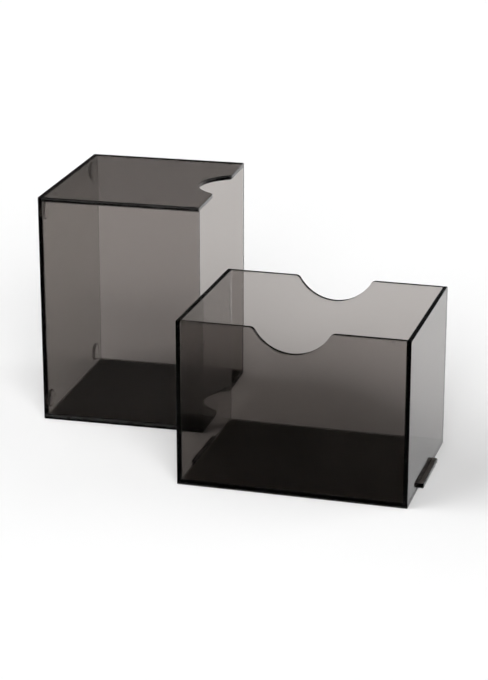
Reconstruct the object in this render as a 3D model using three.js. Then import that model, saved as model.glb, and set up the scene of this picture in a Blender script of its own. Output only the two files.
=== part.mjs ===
// Card storage box in smoked acrylic sheet, in two pieces that telescope.
// The tray stands mouth up and holds the cards. The shell is the cover that slips down over the tray.
// Here the shell is off: it lies behind the tray on one notched wall, with its mouth to the right.
// Millimetres, +Z up, front at -Y. The origin is the middle of the tray's underside.

import * as THREE from 'three';

// Sheet and the joints between panels
const sheet = 2;            // thickness of every panel
const cementLine = 0.05;    // solvent cement between two glued faces

// Tray, measured outside
const trayWidth = 97;
const trayDepth = 76;
const trayHeight = 71;

// How the shell fits over the tray
const slip = 0.5;           // clearance on each side between the tray and the shell
const rimGap = 1;           // closed, the shell's rim stops this far above the table

// Round finger notch, the same in the tray's front and back rims and in two of the shell's walls
const notchRadius = 18;
const notchDepth = 10;
const notchCorner = 2.5;    // rounding where the notch runs out into the rim

// Finger tabs of the tray's base plate, which show in the shell's notches when the box is closed
const tabReach = 2;
const tabClearance = 0.6;   // from each end of a tab to the notch around it

// Clear stick-on bumpers on the outside of the shell's closed panel
const bumperDiameter = 8;
const bumperHeight = 1.2;
const bumperCrown = 0.3;    // rise of the domed face above the upright edge
const bumperInset = 7.5;    // from the shell's outer faces to a bumper's middle

// Where the shell lies beside the tray
const shellAside = 8;       // from the tray's left wall to the shell's mouth
const shellSetBack = 57;    // from the tray's front to the shell's front
const shellTurn = THREE.MathUtils.degToRad(2);

// Facets of round stretches
const arcSteps = 24;
const bumperSteps = 32;
const domeSteps = 4;

// Sizes that follow from these
const shellTall = trayWidth + 2 * (slip + sheet);
const shellDeep = trayDepth + 2 * (slip + sheet);
const shellLong = trayHeight - rimGap + sheet;
const glued = sheet + cementLine;

// Colours of the two materials
const smokeColour = 0x2b2724;
const bumperColour = 0xdfe3e4;

function smokedAcrylic() {
  return new THREE.MeshStandardMaterial({
    color: smokeColour,
    roughness: 0.06,
    metalness: 0,
    transparent: true,
    opacity: 0.62,
  });
}

function clearUrethane() {
  return new THREE.MeshStandardMaterial({
    color: bumperColour,
    roughness: 0.18,
    metalness: 0,
    transparent: true,
    opacity: 0.5,
  });
}

// The notch is one arc about a point above the rim, run out into the rim by a smaller arc at each side.
const notchCentreRise = notchRadius - notchDepth;
const cornerCentreDrop = notchCorner;
const cornerCentreSide = Math.sqrt(
  (notchRadius + notchCorner) ** 2 - (notchCentreRise + cornerCentreDrop) ** 2,
);
const notchTangent = Math.atan2(notchCentreRise + cornerCentreDrop, cornerCentreSide);

// Half the notch's width at a depth below the rim
function notchHalfWidth(depth) {
  const tangentDepth = notchRadius * Math.sin(notchTangent) - notchCentreRise;
  if (depth < tangentDepth) {
    return cornerCentreSide - Math.sqrt(notchCorner ** 2 - (cornerCentreDrop - depth) ** 2);
  }
  return Math.sqrt(notchRadius ** 2 - (notchCentreRise + depth) ** 2);
}

// Outline of a plain panel, centred across and standing on its lower edge
function plainOutline(width, height) {
  const outline = new THREE.Shape();
  outline.moveTo(-width / 2, 0);
  outline.lineTo(width / 2, 0);
  outline.lineTo(width / 2, height);
  outline.lineTo(-width / 2, height);
  outline.closePath();
  return outline;
}

// The same with the finger notch in the middle of its upper edge
function notchedOutline(width, height) {
  const outline = new THREE.Shape();
  const cornerY = height - cornerCentreDrop;
  outline.moveTo(-width / 2, 0);
  outline.lineTo(width / 2, 0);
  outline.lineTo(width / 2, height);
  outline.absarc(cornerCentreSide, cornerY, notchCorner, Math.PI / 2, Math.PI - notchTangent, false);
  outline.absarc(0, height + notchCentreRise, notchRadius, -notchTangent, notchTangent - Math.PI, true);
  outline.absarc(-cornerCentreSide, cornerY, notchCorner, notchTangent, Math.PI / 2, false);
  outline.lineTo(-width / 2, height);
  outline.closePath();
  return outline;
}

// Outline of the base plate seen from above: the tray's footprint with a finger tab at each side
function tabbedOutline(width, depth) {
  const tabHalf = notchHalfWidth(sheet - rimGap) - tabClearance;
  const outline = new THREE.Shape();
  outline.moveTo(-width / 2, -depth / 2);
  outline.lineTo(width / 2, -depth / 2);
  outline.lineTo(width / 2, -tabHalf);
  outline.lineTo(width / 2 + tabReach, -tabHalf);
  outline.lineTo(width / 2 + tabReach, tabHalf);
  outline.lineTo(width / 2, tabHalf);
  outline.lineTo(width / 2, depth / 2);
  outline.lineTo(-width / 2, depth / 2);
  outline.lineTo(-width / 2, tabHalf);
  outline.lineTo(-width / 2 - tabReach, tabHalf);
  outline.lineTo(-width / 2 - tabReach, -tabHalf);
  outline.lineTo(-width / 2, -tabHalf);
  outline.closePath();
  return outline;
}

// A panel is its outline given the sheet's thickness.
function panel(name, outline) {
  const slab = new THREE.ExtrudeGeometry(outline, {
    depth: sheet,
    bevelEnabled: false,
    curveSegments: arcSteps,
  });
  const mesh = new THREE.Mesh(slab, smokedAcrylic());
  mesh.name = name;
  return mesh;
}

// A standing panel that faces front: its thickness runs back from the face at y.
function standAcross(mesh, x, y, z) {
  mesh.rotation.set(Math.PI / 2, 0, 0);
  mesh.position.set(x, y + sheet, z);
  return mesh;
}

// A standing panel that faces sideways: its thickness runs right from the face at x.
function standAlong(mesh, x, y, z) {
  mesh.rotation.set(Math.PI / 2, Math.PI / 2, 0);
  mesh.position.set(x, y, z);
  return mesh;
}

// A level panel whose upper edge points right: its thickness runs up from the face at z.
function layMouthRight(mesh, x, y, z) {
  mesh.rotation.set(0, 0, -Math.PI / 2);
  mesh.position.set(x, y, z);
  return mesh;
}

function makeTray() {
  const tray = new THREE.Group();
  const wallHeight = trayHeight - glued;
  const betweenSides = trayWidth - 2 * glued;
  const front = -trayDepth / 2;
  const left = -trayWidth / 2;

  tray.add(panel('tray_base_plate', tabbedOutline(trayWidth, trayDepth)));

  const frontWall = panel('tray_front_wall', notchedOutline(betweenSides, wallHeight));
  tray.add(standAcross(frontWall, 0, front, glued));
  const backWall = panel('tray_back_wall', notchedOutline(betweenSides, wallHeight));
  tray.add(standAcross(backWall, 0, -front - sheet, glued));

  const leftWall = panel('tray_left_wall', plainOutline(trayDepth, wallHeight));
  tray.add(standAlong(leftWall, left, 0, glued));
  const rightWall = panel('tray_right_wall', plainOutline(trayDepth, wallHeight));
  tray.add(standAlong(rightWall, -left - sheet, 0, glued));
  return tray;
}

// A flat-backed disc with a domed face, turned about its own axis
function bumper(name) {
  const radius = bumperDiameter / 2;
  const edge = bumperHeight - bumperCrown;
  const domeRadius = (radius ** 2 + bumperCrown ** 2) / (2 * bumperCrown);
  const domeCentre = bumperHeight - domeRadius;
  const domeStart = Math.asin((edge - domeCentre) / domeRadius);
  const profile = new THREE.Path();
  profile.moveTo(0, 0);
  profile.lineTo(radius, 0);
  profile.lineTo(radius, edge);
  profile.absarc(0, domeCentre, domeRadius, domeStart, Math.PI / 2, false);
  const turned = new THREE.LatheGeometry(profile.getPoints(domeSteps), bumperSteps);
  const mesh = new THREE.Mesh(turned, clearUrethane());
  mesh.name = name;
  return mesh;
}

// The shell as it lies: closed panel at the left, mouth at the right, front lower left corner at its origin
function makeShell() {
  const shell = new THREE.Group();
  const middle = shellDeep / 2;
  const betweenNotched = shellTall - 2 * glued;
  const plainLength = shellLong - glued;

  const lowerWall = panel('shell_lower_notched_wall', notchedOutline(shellDeep, shellLong));
  shell.add(layMouthRight(lowerWall, 0, middle, 0));
  const upperWall = panel('shell_upper_notched_wall', notchedOutline(shellDeep, shellLong));
  shell.add(layMouthRight(upperWall, 0, middle, shellTall - sheet));

  const closedPanel = panel('shell_closed_panel', plainOutline(shellDeep, betweenNotched));
  shell.add(standAlong(closedPanel, 0, middle, glued));

  const plainMiddle = glued + plainLength / 2;
  const frontWall = panel('shell_front_plain_wall', plainOutline(plainLength, betweenNotched));
  shell.add(standAcross(frontWall, plainMiddle, 0, glued));
  const backWall = panel('shell_back_plain_wall', plainOutline(plainLength, betweenNotched));
  shell.add(standAcross(backWall, plainMiddle, shellDeep - sheet, glued));

  const rows = { lower: bumperInset, upper: shellTall - bumperInset };
  const columns = { front: bumperInset, back: shellDeep - bumperInset };
  for (const [row, z] of Object.entries(rows)) {
    for (const [column, y] of Object.entries(columns)) {
      const dome = bumper(`bumper_${row}_${column}`);
      dome.rotation.set(0, 0, Math.PI / 2);
      dome.position.set(-cementLine, y, z);
      shell.add(dome);
    }
  }
  return shell;
}

const box = new THREE.Group();
box.add(makeTray());

const shell = makeShell();
shell.rotation.set(0, 0, shellTurn);
shell.position.set(
  -trayWidth / 2 - shellAside - shellLong * Math.cos(shellTurn),
  -trayDepth / 2 + shellSetBack,
  0,
);
box.add(shell);

export default box;
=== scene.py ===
import math
from functools import partial

import bmesh
import bpy
from mathutils import Matrix, Vector


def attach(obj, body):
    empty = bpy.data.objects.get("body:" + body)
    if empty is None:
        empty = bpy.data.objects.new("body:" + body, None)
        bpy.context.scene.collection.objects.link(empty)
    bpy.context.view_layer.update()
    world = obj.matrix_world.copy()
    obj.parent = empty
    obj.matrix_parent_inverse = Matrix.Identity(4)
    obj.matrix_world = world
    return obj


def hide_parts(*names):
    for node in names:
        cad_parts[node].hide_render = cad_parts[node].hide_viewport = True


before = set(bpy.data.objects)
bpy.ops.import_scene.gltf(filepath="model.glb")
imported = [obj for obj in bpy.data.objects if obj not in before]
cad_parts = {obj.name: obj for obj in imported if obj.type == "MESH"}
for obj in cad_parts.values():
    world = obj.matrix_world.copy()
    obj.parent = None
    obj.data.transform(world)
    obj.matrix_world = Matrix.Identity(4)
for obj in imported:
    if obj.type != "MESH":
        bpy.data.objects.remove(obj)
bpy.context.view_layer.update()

# Everything here is in metres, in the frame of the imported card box: +Z up, the tray's front at -Y.
MM = 0.001
TRAY_PANELS = ("tray_base_plate", "tray_front_wall", "tray_back_wall", "tray_left_wall", "tray_right_wall")

# Sheet and its cut edges
ARRIS = 0.3 * MM              # the rounded-off corner along every open polished edge
ARRIS_STEPS = 3
GLUED_IN = 0.08 * MM          # how far a cemented edge reaches past the glue line into its neighbour
SHEET_MAP_UNIT = 100 * MM     # length that one unit of a panel's own map covers

# How faces and edges are told apart: by the cosine of a face to an axis, or the angle that an edge turns
FLAT = 0.99                   # a face at least this level is broad, and not a cut edge
UPRIGHT = 0.01                # a face at most this level is a straight cut edge
SQUARE = 0.97                 # a cut edge at least this square to an axis is one of the four sides
CORNER = math.radians(30)     # a panel's edge that turns more than this is a corner
ARC_FACET = math.radians(12)  # facets of a notch turn less than this to each other
DOME_FACET = math.radians(40)  # and those of a bumper less than this

# Finger notch, in the tray's front and back rims and at the shell's mouth
NOTCH_RADIUS = 18 * MM
NOTCH_DEPTH = 10 * MM
NOTCH_CORNER = 2.5 * MM
NOTCH_STEPS = 72
CORNER_STEPS = 14

# The shell lies turned a little to the tray
SHELL_TURN = math.radians(2)

# Bumpers on the shell's closed panel
BUMPER_CROWN = 0.3 * MM       # rise of the domed face above the upright edge
BUMPER_LIP = 0.7 * MM         # moulded rounding between face and edge
BUMPER_STEPS = 56
DOME_STEPS = 10
LIP_STEPS = 6
SEAM = 0.001 * MM             # points of a spun bumper nearer than this are one

# Finishes: a roughness that varies is a pair, from the smooth spots to the dull ones
REFRACTION = 1.49             # the same in sheet and bumpers, so that light passes a bumper's foot unbent
SMOKE = (0.29, 0.236, 0.202, 1)  # the tint, taken up inside the sheet at this density
SMOKE_DENSITY = 500.0
NOISE_SPAN = (0.3, 0.7)       # nearly all values of a noise lie in here
WIPE_SPAN = (0.35, 0.75)      # set higher for the wipe marks, so that more of a face is smooth
FACE_ROUGHNESS = (0.008, 0.03)
CUT_ROUGHNESS = (0.05, 0.16)
BUMPER_ROUGHNESS = (0.10, 0.20)
FOOT_ROUGHNESS = 0.02
FLOOR_WHITE = 0.97

# Painted reflection: how much of a straight-on reflection a panel shows, on its faces and on the low
# and the high side of its cut edges, set piece by piece in place of the light that falls on them: one side
# of a cut edge lit and the other dark, and the tray's faces and edges darker than the shell's. A pair past 0
# and 1 is clamped in the shader, which keeps the change between the two sides short.
PAINTED_REFLECTION = {
    "tray": (0.0, 0.05, 0.05),
    "tray_base_plate": (0.0, 0.80, -0.40),
    "shell": (0.1, 0.05, 0.05),
    "shell_upper_notched_wall": (0.1, -1.4, 1.6),
    "shell_lower_notched_wall": (0.1, -0.9, 1.6),
}

# Floor and lights. Softboxes: azimuth counted from the front to the right, elevation, strength and spread.
FLOOR_HALF = 6.0
FLOOR_DROP = 0.15 * MM        # the floor lies this far under the box
SOFTBOXES = {
    "left_softbox": (-60, 24, 2.70, 70),
    "front_softbox": (20, 24, 3.55, 50),
    "right_softbox": (115, 26, 0.80, 50),
    "back_softbox": (-120, 26, 0.50, 50),
}

# Backdrop, by the Z of the direction of sight: white low down, and dim overhead, where the level panels would
# mirror it
BACKDROP_HEIGHTS = (0.10, 0.17)
BACKDROP_LEVELS = (1.0, 0.04)

# Photograph's frame and the camera that was fitted to the corners of both pieces
PHOTO_WIDTH, PHOTO_HEIGHT = 488, 680
FOCAL_PIXELS = 2175
CAMERA_PLACE = (204.9 * MM, -831.6 * MM, 343.5 * MM)
CAMERA_AZIMUTH = math.radians(15.80)
CAMERA_PITCH = math.radians(18.63)
SENSOR = 36.0


# Outlines of the panels, drawn in XY

def run_line(bm, start, corners):
    """Runs a line of edges from a vertex through the corners, and gives its last vertex."""
    last = start
    for x, y in corners:
        last = bmesh.ops.extrude_vert_indiv(bm, verts=[last])["verts"][0]
        last.co = (x, y, 0)
    return last


def swing_arc(bm, start, centre, angle, steps, axis=(0, 0, 1)):
    """Runs an arc of edges from a vertex about a centre, and gives its last vertex."""
    turned = bmesh.ops.spin(bm, geom=[start], cent=centre, axis=axis, angle=angle, steps=steps,
                            use_duplicate=False)
    return next(v for v in turned["geom_last"] if isinstance(v, bmesh.types.BMVert))


def close_outline(bm, first, last):
    """Joins the line's two ends and fills it with one face."""
    bm.edges.new((last, first))
    bmesh.ops.edgeloop_fill(bm, edges=bm.edges[:])


def sides_of(width, height, glued):
    """Left, right, foot and head of a panel centred on its foot, with its cemented sides let in."""
    left = -width / 2 - GLUED_IN * ("left" in glued)
    right = width / 2 + GLUED_IN * ("right" in glued)
    foot = -GLUED_IN * ("foot" in glued)
    head = height + GLUED_IN * ("head" in glued)
    return left, right, foot, head


def plain_outline(bm, width, height, glued):
    left, right, foot, head = sides_of(width, height, glued)
    first = bm.verts.new((left, foot, 0))
    last = run_line(bm, first, [(right, foot), (right, head), (left, head)])
    close_outline(bm, first, last)


def notched_outline(bm, width, height, glued):
    """A panel with the finger notch in the middle of its head, run out by a small arc at each side."""
    left, right, foot, head = sides_of(width, height, glued)
    rise = NOTCH_RADIUS - NOTCH_DEPTH
    side = math.sqrt((NOTCH_RADIUS + NOTCH_CORNER) ** 2 - (rise + NOTCH_CORNER) ** 2)
    tangent = math.atan2(rise + NOTCH_CORNER, side)
    run_out = math.pi / 2 - tangent
    first = bm.verts.new((side, head, 0))
    last = swing_arc(bm, first, (side, head - NOTCH_CORNER, 0), run_out, CORNER_STEPS)
    last = swing_arc(bm, last, (0, head + rise, 0), 2 * tangent - math.pi, NOTCH_STEPS)
    last = swing_arc(bm, last, (-side, head - NOTCH_CORNER, 0), run_out, CORNER_STEPS)
    last = run_line(bm, last, [(left, head), (left, foot), (right, foot), (right, head)])
    close_outline(bm, first, last)


def tabbed_outline(bm, width, depth, tab_half, reach):
    """The base plate from above: the tray's footprint with a finger tab at each side."""
    half = width / 2
    right = [(half, -depth / 2), (half, -tab_half), (half + reach, -tab_half), (half + reach, tab_half),
             (half, tab_half), (half, depth / 2)]
    left = [(-x, -y) for x, y in right]
    first = bm.verts.new((*right[0], 0))
    last = run_line(bm, first, right[1:] + left)
    close_outline(bm, first, last)


# From an outline to a piece of polished sheet

def side_of(face):
    """Which side of a panel a face is on, by the way that it looks."""
    way = face.normal
    if abs(way.z) > FLAT:
        return "high" if way.z > 0 else "low"
    if abs(way.x) > SQUARE:
        return "right" if way.x > 0 else "left"
    if abs(way.y) > SQUARE:
        return "head" if way.y > 0 else "foot"
    return "arc"


def gets_arris(edge, glued, flush):
    """True for an open corner: not round a cemented side, nor where a neighbour's face runs on flush."""
    if edge.calc_face_angle(0) < CORNER:
        return False
    sides = {side_of(face) for face in edge.link_faces}
    if sides & set(glued):
        return False
    return not any(sides == {rim, face} for rim, face in flush)


def shade_sheet(bm):
    """Smooth along arcs and across arrises, and sharp where these meet a flat face or a straight edge."""
    for face in bm.faces:
        face.smooth = True
    for edge in bm.edges:
        slopes = [round(abs(face.normal.z), 2) for face in edge.link_faces]
        rounded = [UPRIGHT < slope < FLAT for slope in slopes]
        along = slopes[0] == slopes[1] and edge.calc_face_angle(0) < ARC_FACET
        edge.smooth = along or all(rounded)


def mark_sheet(bm, node, thickness):
    """Gives a panel its own flat map, and marks its cut edges and the painted reflection on its faces and on
    each side of its cut edges.
    """
    sheet_map = bm.loops.layers.uv.new("sheet")
    cut = bm.faces.layers.float.new("cut_edge")
    painted_reflection = bm.loops.layers.float.new("painted_reflection")
    # Painted reflection, per piece and per side of each cut edge: one side lit, the other dark.
    face_painted_reflection, low_painted_reflection, high_painted_reflection = PAINTED_REFLECTION.get(node, PAINTED_REFLECTION["tray" if node in TRAY_PANELS else "shell"])
    for face in bm.faces:
        face[cut] = 0.0 if abs(face.normal.z) > FLAT else 1.0
        for loop in face.loops:
            high = loop.vert.co.z > thickness / 2
            loop[painted_reflection] = (high_painted_reflection if high else low_painted_reflection) if face[cut] else face_painted_reflection
            loop[sheet_map].uv = loop.vert.co.xy / SHEET_MAP_UNIT


def sheet_piece(name, node, outline, thickness, place, glued=(), flush=()):
    """Gives an outline the sheet's thickness and its polished arrises, and moves it to its place."""
    bm = bmesh.new()
    outline(bm)
    grown = bmesh.ops.extrude_face_region(bm, geom=bm.faces[:])
    risen = [v for v in grown["geom"] if isinstance(v, bmesh.types.BMVert)]
    bmesh.ops.translate(bm, verts=risen, vec=(0, 0, thickness))
    bmesh.ops.recalc_face_normals(bm, faces=bm.faces[:])
    corners = [e for e in bm.edges if gets_arris(e, glued, flush)]
    bmesh.ops.bevel(bm, geom=corners, offset=ARRIS, offset_type="OFFSET", affect="EDGES",
                    segments=ARRIS_STEPS, profile=0.5, material=-1, clamp_overlap=True)
    mark_sheet(bm, node, thickness)
    shade_sheet(bm)
    bmesh.ops.transform(bm, matrix=place, verts=bm.verts[:])
    return finish_piece(bm, name, node, smoked_acrylic)


def finish_piece(bm, name, node, material):
    """Makes an object of a finished mesh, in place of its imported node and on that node's body."""
    mesh = bpy.data.meshes.new(name)
    bm.to_mesh(mesh)
    bm.free()
    mesh.materials.append(material)
    piece = bpy.data.objects.new(name, mesh)
    bpy.context.scene.collection.objects.link(piece)
    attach(piece, "tray" if node in TRAY_PANELS else "shell")
    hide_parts(node)
    return piece


# Places of the pieces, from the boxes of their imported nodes. Each is drawn in XY with its thickness along Z.

ACROSS = Matrix(((1, 0, 0), (0, 0, -1), (0, 1, 0)))       # a panel that stands facing front
ALONG = Matrix(((0, 0, 1), (1, 0, 0), (0, 1, 0)))         # a panel that stands facing sideways
MOUTH_RIGHT = Matrix(((0, 1, 0), (-1, 0, 0), (0, 0, 1)))  # a panel that lies level, its head to the right
DOME_LEFT = Matrix(((0, 0, -1), (0, 1, 0), (1, 0, 0)))    # a bumper, its dome to the left


def own_box(node, turn=0.0):
    """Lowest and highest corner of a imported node, in axes that turn with it about Z."""
    back = Matrix.Rotation(-turn, 3, "Z")
    places = [back @ v.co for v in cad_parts[node].data.vertices]
    low = Vector([min(p[i] for p in places) for i in range(3)])
    high = Vector([max(p[i] for p in places) for i in range(3)])
    return low, high


def placed(turn, attitude, x, y, z):
    """Matrix that stands a piece up in its attitude at a place, in axes turned about Z."""
    return Matrix.Rotation(turn, 4, "Z") @ Matrix.Translation((x, y, z)) @ attitude.to_4x4()


def panel_across(name, node, outline, glued=(), flush=(), turn=0.0):
    low, high = own_box(node, turn)
    place = placed(turn, ACROSS, (low.x + high.x) / 2, high.y, low.z)
    shape = partial(outline, width=high.x - low.x, height=high.z - low.z, glued=glued)
    return sheet_piece(name, node, shape, high.y - low.y, place, glued, flush)


def panel_along(name, node, outline, glued=(), flush=(), turn=0.0):
    low, high = own_box(node, turn)
    place = placed(turn, ALONG, low.x, (low.y + high.y) / 2, low.z)
    shape = partial(outline, width=high.y - low.y, height=high.z - low.z, glued=glued)
    return sheet_piece(name, node, shape, high.x - low.x, place, glued, flush)


def panel_mouth_right(name, node, outline, glued=(), flush=(), turn=0.0):
    low, high = own_box(node, turn)
    place = placed(turn, MOUTH_RIGHT, low.x, (low.y + high.y) / 2, low.z)
    shape = partial(outline, width=high.y - low.y, height=high.x - low.x, glued=glued)
    return sheet_piece(name, node, shape, high.z - low.z, place, glued, flush)


def base_plate(name, node):
    low, high = own_box(node)
    left = own_box("tray_left_wall")[0].x
    right = own_box("tray_right_wall")[1].x
    tab_ends = [v.co.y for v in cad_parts[node].data.vertices if v.co.x > right + ARRIS]
    shape = partial(tabbed_outline, width=right - left, depth=high.y - low.y, tab_half=max(tab_ends),
                    reach=high.x - right)
    place = Matrix.Translation(((left + right) / 2, (low.y + high.y) / 2, low.z))
    return sheet_piece(name, node, shape, high.z - low.z, place)


# Bumpers

def shade_dome(bm):
    """Smooth but for the corner round the foot."""
    for face in bm.faces:
        face.smooth = True
    for edge in bm.edges:
        edge.smooth = edge.calc_face_angle(0) < DOME_FACET


def bumper(name, node):
    """A clear low dome with a moulded lip, spun about its own axis, on the outside of the closed panel."""
    low, high = own_box(node, SHELL_TURN)
    radius = (high.z - low.z) / 2
    height = high.x - low.x
    bend = (radius ** 2 + BUMPER_CROWN ** 2) / (2 * BUMPER_CROWN)
    dome_centre = height - bend
    lip_side = radius - BUMPER_LIP
    lip_above = math.sqrt((bend - BUMPER_LIP) ** 2 - lip_side ** 2)
    lip_start = math.atan2(lip_side, lip_above)
    lip_centre = (lip_side, 0, dome_centre + lip_above)
    bm = bmesh.new()
    crown = bm.verts.new((0, 0, height))
    last = swing_arc(bm, crown, (0, 0, dome_centre), lip_start, DOME_STEPS, (0, 1, 0))
    last = swing_arc(bm, last, lip_centre, math.pi / 2 - lip_start, LIP_STEPS, (0, 1, 0))
    foot = bmesh.ops.extrude_vert_indiv(bm, verts=[last])["verts"][0]
    middle = bmesh.ops.extrude_vert_indiv(bm, verts=[foot])["verts"][0]
    foot.co = (radius, 0, -GLUED_IN)
    middle.co = (0, 0, -GLUED_IN)
    bmesh.ops.spin(bm, geom=bm.verts[:] + bm.edges[:], cent=(0, 0, 0), axis=(0, 0, 1), angle=math.tau,
                   steps=BUMPER_STEPS, use_merge=True, use_duplicate=False)
    bmesh.ops.remove_doubles(bm, verts=bm.verts[:], dist=SEAM)
    bmesh.ops.recalc_face_normals(bm, faces=bm.faces[:])
    shade_dome(bm)
    moulded = bm.faces.layers.float.new("moulded")
    for face in bm.faces:
        face[moulded] = 0.0 if face.normal.z < -FLAT else 1.0
    place = placed(SHELL_TURN, DOME_LEFT, high.x, (low.y + high.y) / 2, (low.z + high.z) / 2)
    bmesh.ops.transform(bm, matrix=place, verts=bm.verts[:])
    return finish_piece(bm, name, node, clear_urethane)


# Materials

def node_of(tree, kind):
    return next(n for n in tree.nodes if n.type == kind)


def node_material(name):
    """A new material and its shader."""
    material = bpy.data.materials.new(name)
    material.use_nodes = True
    return material, node_of(material.node_tree, "BSDF_PRINCIPLED")


def see_through(shader):
    shader.inputs["Base Color"].default_value = (1, 1, 1, 1)
    shader.inputs["Transmission Weight"].default_value = 1.0
    shader.inputs["IOR"].default_value = REFRACTION


def added(tree, kind, **values):
    """A new node with its plain properties and unlinked inputs set by name."""
    node = tree.nodes.new(kind)
    for key, value in values.items():
        if key in node.inputs:
            node.inputs[key].default_value = value
        else:
            setattr(node, key, value)
    return node


def ranged(tree, source, taken, given):
    """Spreads the taken range of a value over the given one, and gives the result."""
    node = added(tree, "ShaderNodeMapRange")
    for key, value in zip(("From Min", "From Max", "To Min", "To Max"), (*taken, *given)):
        node.inputs[key].default_value = value
    tree.links.new(source, node.inputs["Value"])
    return node.outputs["Result"]


def make_smoked_acrylic():
    """Polished see-through sheet, tinted warm grey, with faint wipe marks, saw marks on its cut edges, and a
    painted reflection.
    """
    material, shader = node_material("smoked_sheet")
    see_through(shader)
    tree = material.node_tree
    link = tree.links.new

    sheet_map = added(tree, "ShaderNodeUVMap", uv_map="sheet")
    wipes = added(tree, "ShaderNodeTexNoise", noise_dimensions="2D", Scale=3.5, Detail=4.0, Roughness=0.6)
    saw = added(tree, "ShaderNodeTexNoise", noise_dimensions="2D", Scale=160.0, Detail=2.0, Roughness=0.5)
    link(sheet_map.outputs["UV"], wipes.inputs["Vector"])
    link(sheet_map.outputs["UV"], saw.inputs["Vector"])
    cut = added(tree, "ShaderNodeAttribute", attribute_name="cut_edge")
    rough = added(tree, "ShaderNodeMix", data_type="FLOAT")
    link(cut.outputs["Fac"], rough.inputs["Factor"])
    link(ranged(tree, wipes.outputs["Fac"], WIPE_SPAN, FACE_ROUGHNESS), rough.inputs["A"])
    link(ranged(tree, saw.outputs["Fac"], NOISE_SPAN, CUT_ROUGHNESS), rough.inputs["B"])
    link(rough.outputs["Result"], shader.inputs["Roughness"])

    # Painted reflection: the straight-on reflection is read per corner, one side of a cut edge lit and the
    # other dark.
    painted_reflection = added(tree, "ShaderNodeAttribute", attribute_name="painted_reflection")
    kept = added(tree, "ShaderNodeClamp")
    link(painted_reflection.outputs["Fac"], kept.inputs["Value"])
    link(kept.outputs["Result"], shader.inputs["Specular Tint"])

    tint = added(tree, "ShaderNodeVolumeAbsorption", Color=SMOKE, Density=SMOKE_DENSITY)
    link(tint.outputs["Volume"], node_of(tree, "OUTPUT_MATERIAL").inputs["Volume"])
    return material


def make_clear_urethane():
    """Soft clear bumper: its moulded face is faintly matt, its foot is clear where the glue wets it."""
    material, shader = node_material("clear_urethane")
    see_through(shader)
    tree = material.node_tree
    link = tree.links.new
    place = added(tree, "ShaderNodeTexCoord")
    cloud = added(tree, "ShaderNodeTexNoise", Scale=900.0, Detail=3.0)
    link(place.outputs["Object"], cloud.inputs["Vector"])
    moulded = added(tree, "ShaderNodeAttribute", attribute_name="moulded")
    rough = added(tree, "ShaderNodeMix", data_type="FLOAT", A=FOOT_ROUGHNESS)
    link(moulded.outputs["Fac"], rough.inputs["Factor"])
    link(ranged(tree, cloud.outputs["Fac"], NOISE_SPAN, BUMPER_ROUGHNESS), rough.inputs["B"])
    link(rough.outputs["Result"], shader.inputs["Roughness"])
    return material


def make_pale_floor():
    """Matt white sweep."""
    material, shader = node_material("pale_floor")
    shader.inputs["Base Color"].default_value = (FLOOR_WHITE, FLOOR_WHITE, FLOOR_WHITE, 1)
    shader.inputs["Roughness"].default_value = 0.9
    shader.inputs["Specular IOR Level"].default_value = 0.0
    return material


# The two halves of the box

# Sides of a panel that are cemented to a neighbour
BETWEEN = ("left", "right", "foot")  # the tray's notched walls, between its side walls
HELD = ("left", "foot", "head")      # the shell's plain walls, between its notched walls

# Corners that stay square because a neighbour's face runs on from them: a side, and the broad face next to it
INSIDE_RIGHT = (("left", "high"), ("right", "high"))
INSIDE_LEFT = (("left", "low"), ("right", "low"))
INSIDE_ABOVE = (*INSIDE_RIGHT, ("foot", "high"))
INSIDE_BELOW = (*INSIDE_LEFT, ("foot", "low"))


def build_tray():
    """Base plate, front and back walls between the side walls, all four on the plate."""
    base_plate("base_plate", "tray_base_plate")
    panel_across("front_wall", "tray_front_wall", notched_outline, BETWEEN)
    panel_across("back_wall", "tray_back_wall", notched_outline, BETWEEN)
    panel_along("left_wall", "tray_left_wall", plain_outline, ("foot",), INSIDE_RIGHT)
    panel_along("right_wall", "tray_right_wall", plain_outline, ("foot",), INSIDE_LEFT)


def build_shell():
    """Closed panel and plain walls between the notched walls, and a bumper at each corner."""
    panel_along("closed_panel", "shell_closed_panel", plain_outline, ("foot", "head"), INSIDE_RIGHT,
                turn=SHELL_TURN)
    panel_across("front_plain_wall", "shell_front_plain_wall", plain_outline, HELD, turn=SHELL_TURN)
    panel_across("back_plain_wall", "shell_back_plain_wall", plain_outline, HELD, turn=SHELL_TURN)
    panel_mouth_right("upper_notched_wall", "shell_upper_notched_wall", notched_outline,
                      flush=INSIDE_BELOW, turn=SHELL_TURN)
    panel_mouth_right("lower_notched_wall", "shell_lower_notched_wall", notched_outline,
                      flush=INSIDE_ABOVE, turn=SHELL_TURN)
    for row in ("upper", "lower"):
        for column in ("front", "back"):
            bumper(f"{row}_{column}_bumper", f"bumper_{row}_{column}")


# Stage

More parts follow.
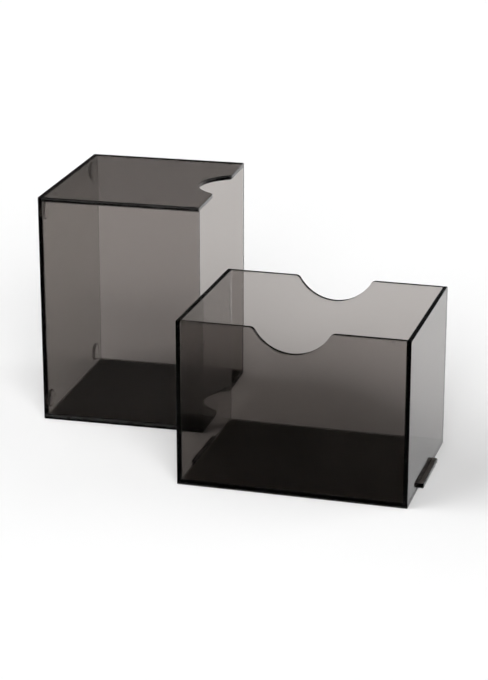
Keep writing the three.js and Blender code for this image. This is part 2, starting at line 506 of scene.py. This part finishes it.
def lay_floor():
    bm = bmesh.new()
    bmesh.ops.create_grid(bm, x_segments=1, y_segments=1, size=FLOOR_HALF)
    bmesh.ops.translate(bm, verts=bm.verts[:], vec=(0, 0, -FLOOR_DROP))
    mesh = bpy.data.meshes.new("floor")
    bm.to_mesh(mesh)
    bm.free()
    mesh.materials.append(make_pale_floor())
    floor = bpy.data.objects.new("floor", mesh)
    bpy.context.scene.collection.objects.link(floor)


def hang_softbox(name, azimuth, elevation, strength, spread):
    """A distant soft light, which stays out of reflections."""
    lamp = bpy.data.lights.new(name, "SUN")
    lamp.energy = strength
    lamp.angle = math.radians(spread)
    holder = bpy.data.objects.new(name, lamp)
    turn = math.radians(azimuth)
    tilt = math.radians(elevation)
    towards = Vector((math.sin(turn) * math.cos(tilt), -math.cos(turn) * math.cos(tilt), math.sin(tilt)))
    holder.rotation_euler = towards.to_track_quat("Z", "Y").to_euler()
    holder.visible_glossy = False
    bpy.context.scene.collection.objects.link(holder)


def hang_backdrop():
    """Plain surroundings, white near the horizon and dim above."""
    world = bpy.data.worlds.new("studio")
    bpy.context.scene.world = world
    world.use_nodes = True
    tree = world.node_tree
    link = tree.links.new
    backdrop = node_of(tree, "BACKGROUND")
    backdrop.inputs["Color"].default_value = (1, 1, 1, 1)
    view = added(tree, "ShaderNodeTexCoord")
    split = added(tree, "ShaderNodeSeparateXYZ")
    link(view.outputs["Generated"], split.inputs["Vector"])
    link(ranged(tree, split.outputs["Z"], BACKDROP_HEIGHTS, BACKDROP_LEVELS), backdrop.inputs["Strength"])


def stand_camera():
    """The photograph's own view."""
    data = bpy.data.cameras.new("camera")
    data.sensor_width = SENSOR
    data.lens = FOCAL_PIXELS * SENSOR / max(PHOTO_WIDTH, PHOTO_HEIGHT)
    camera = bpy.data.objects.new("camera", data)
    camera.location = CAMERA_PLACE
    camera.rotation_euler = (math.pi / 2 - CAMERA_PITCH, 0, CAMERA_AZIMUTH)
    bpy.context.scene.collection.objects.link(camera)
    bpy.context.scene.camera = camera


smoked_acrylic = make_smoked_acrylic()
clear_urethane = make_clear_urethane()
build_tray()
build_shell()

lay_floor()
hang_backdrop()
for softbox, setting in SOFTBOXES.items():
    hang_softbox(softbox, *setting)
stand_camera()
bpy.context.scene.view_settings.view_transform = "Standard"
